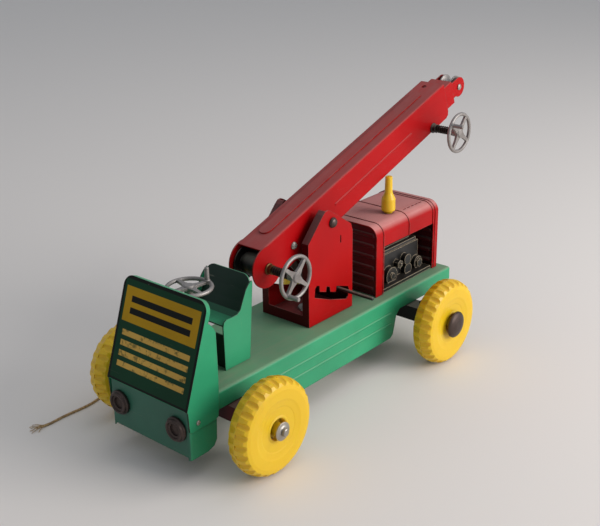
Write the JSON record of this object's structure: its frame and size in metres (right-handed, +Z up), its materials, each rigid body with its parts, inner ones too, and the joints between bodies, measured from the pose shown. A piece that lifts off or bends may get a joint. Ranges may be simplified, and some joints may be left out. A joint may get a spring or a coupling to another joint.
{
  "type": "toy crane lorry",
  "caption": "Pressed-steel toy lorry crane: flat bed on moulded wheels, open driver's seat, swivelling turret, telescoping boom with crank wheels, notched elevating rod and a hooded engine.",
  "frame": {"origin": "on the floor, under the centre of the lorry's box without its cord", "axes": "+Z up, front of the lorry faces -Y, +X is the lorry's left"},
  "size_m": [0.2015, 0.4323, 0.228],
  "materials": {
    "green_paint": "gloss enamel, worn and dusty",
    "red_paint": "gloss enamel, dusty on top",
    "dark_red_paint": "old enamel, in shade",
    "black_paint": "satin black, chipped",
    "cast_grey": "dull die casting",
    "bright_steel": "tarnished plating",
    "brown_steel": "tarnished, brown",
    "black_moulding": "matte moulded, dusty edges",
    "brass": "tarnished",
    "yellow_plastic": "moulded polythene, waxy",
    "twine": "frayed twine"
  },
  "bodies": {
    "truck": {"chassis": "green_paint", "front_panel": "green_paint", "panel_rivets": "bright_steel", "headlight_left": "brown_steel", "headlight_right": "brown_steel", "seat": "green_paint", "steering_column": "bright_steel", "front_axle_hanger": "dark_red_paint", "rear_axle_hanger": "black_paint", "front_axle": "bright_steel", "rear_axle": "bright_steel", "hubcap_front_right": "brown_steel", "hubcap_rear_left": "brown_steel", "hubcap_rear_right": "brown_steel", "push_nut": "bright_steel", "hood": "red_paint", "hood_grille": "dark_red_paint", "hood_tail_plate": "dark_red_paint", "engine_block": "black_moulding", "exhaust_stack": "yellow_plastic", "turret_rivet": "bright_steel", "pull_cord": "twine", "cord_knot": "twine"},
    "front_left_wheel": {"wheel_front_left": "yellow_plastic"},
    "front_right_wheel": {"wheel_front_right": "yellow_plastic"},
    "rear_left_wheel": {"wheel_rear_left": "yellow_plastic"},
    "rear_right_wheel": {"wheel_rear_right": "yellow_plastic"},
    "steering": {"steering_wheel": "cast_grey"},
    "turntable": {"turret": "red_paint", "boom_hinge_bolt": "brown_steel", "boom_hinge_nut": "black_paint", "hinge_spacers": "bright_steel"},
    "boom": {"boom_outer": "red_paint", "boom_guide_pin": "bright_steel", "link_pin": "bright_steel", "winch_bushes": "brass", "winch_spring": "bright_steel", "telescope_bushes": "black_paint", "telescope_spring": "bright_steel"},
    "winch": {"winch_shaft": "bright_steel", "winch_drum": "black_paint", "winch_hand_wheel": "cast_grey"},
    "telescope_crank": {"telescope_shaft": "bright_steel", "telescope_pinion": "bright_steel", "telescope_hand_wheel": "cast_grey"},
    "extension": {"boom_inner": "red_paint", "tip_fork": "red_paint", "tip_pin": "bright_steel"},
    "pulley": {"tip_pulley": "cast_grey"},
    "elevating_link": {"elevating_strap": "bright_steel", "elevating_rod": "black_paint"}
  },
  "joints": [
    {"name": "front_left_wheel_spin", "type": "hinge", "parent": "truck", "child": "front_left_wheel", "pos_m": [0.0767, -0.1517, 0.038], "axis": [1, 0, 0], "continuous": true},
    {"name": "front_right_wheel_spin", "type": "hinge", "parent": "truck", "child": "front_right_wheel", "pos_m": [-0.0767, -0.1517, 0.038], "axis": [1, 0, 0], "continuous": true},
    {"name": "rear_left_wheel_spin", "type": "hinge", "parent": "truck", "child": "rear_left_wheel", "pos_m": [0.0767, 0.0783, 0.038], "axis": [1, 0, 0], "continuous": true},
    {"name": "rear_right_wheel_spin", "type": "hinge", "parent": "truck", "child": "rear_right_wheel", "pos_m": [-0.0767, 0.0783, 0.038], "axis": [1, 0, 0], "continuous": true},
    {"name": "steering_turn", "type": "hinge", "parent": "truck", "child": "steering", "pos_m": [0, -0.1527, 0.1275], "axis": [0, 0, 1], "continuous": true},
    {"name": "turret_swivel", "type": "hinge", "parent": "truck", "child": "turntable", "pos_m": [0, -0.017, 0.062], "axis": [0, 0, 1], "range_deg": [-110, 30]},
    {"name": "boom_elevation", "type": "hinge", "parent": "turntable", "child": "boom", "pos_m": [0, -0.0151, 0.1454], "axis": [1, 0, 0], "range_deg": [0, 17.3]},
    {"name": "boom_extension", "type": "slide", "parent": "boom", "child": "extension", "axis": [0, 0.9455, 0.3256], "range_m": [0, 0.1]},
    {"name": "telescope_crank_turn", "type": "hinge", "parent": "boom", "child": "telescope_crank", "pos_m": [0, 0.14813, 0.1886], "axis": [1, 0, 0], "range_deg": [-1915, 5]},
    {"name": "winch_turn", "type": "hinge", "parent": "boom", "child": "winch", "pos_m": [0, -0.07942, 0.12209], "axis": [1, 0, 0], "continuous": true},
    {"name": "tip_pulley_spin", "type": "hinge", "parent": "extension", "child": "pulley", "pos_m": [0, 0.19464, 0.21815], "axis": [1, 0, 0], "continuous": true},
    {"name": "elevating_link_swing", "type": "hinge", "parent": "boom", "child": "elevating_link", "pos_m": [0, -0.04929, 0.13257], "axis": [1, 0, 0], "range_deg": [-10.6, 0.5]}
  ],
  "couplings": [
    {"joint": "telescope_crank_turn", "follows": "boom_extension", "rad_per_m": -333.33},
    {"joint": "elevating_link_swing", "follows": "boom_elevation", "ratio": -0.58846}
  ]
}
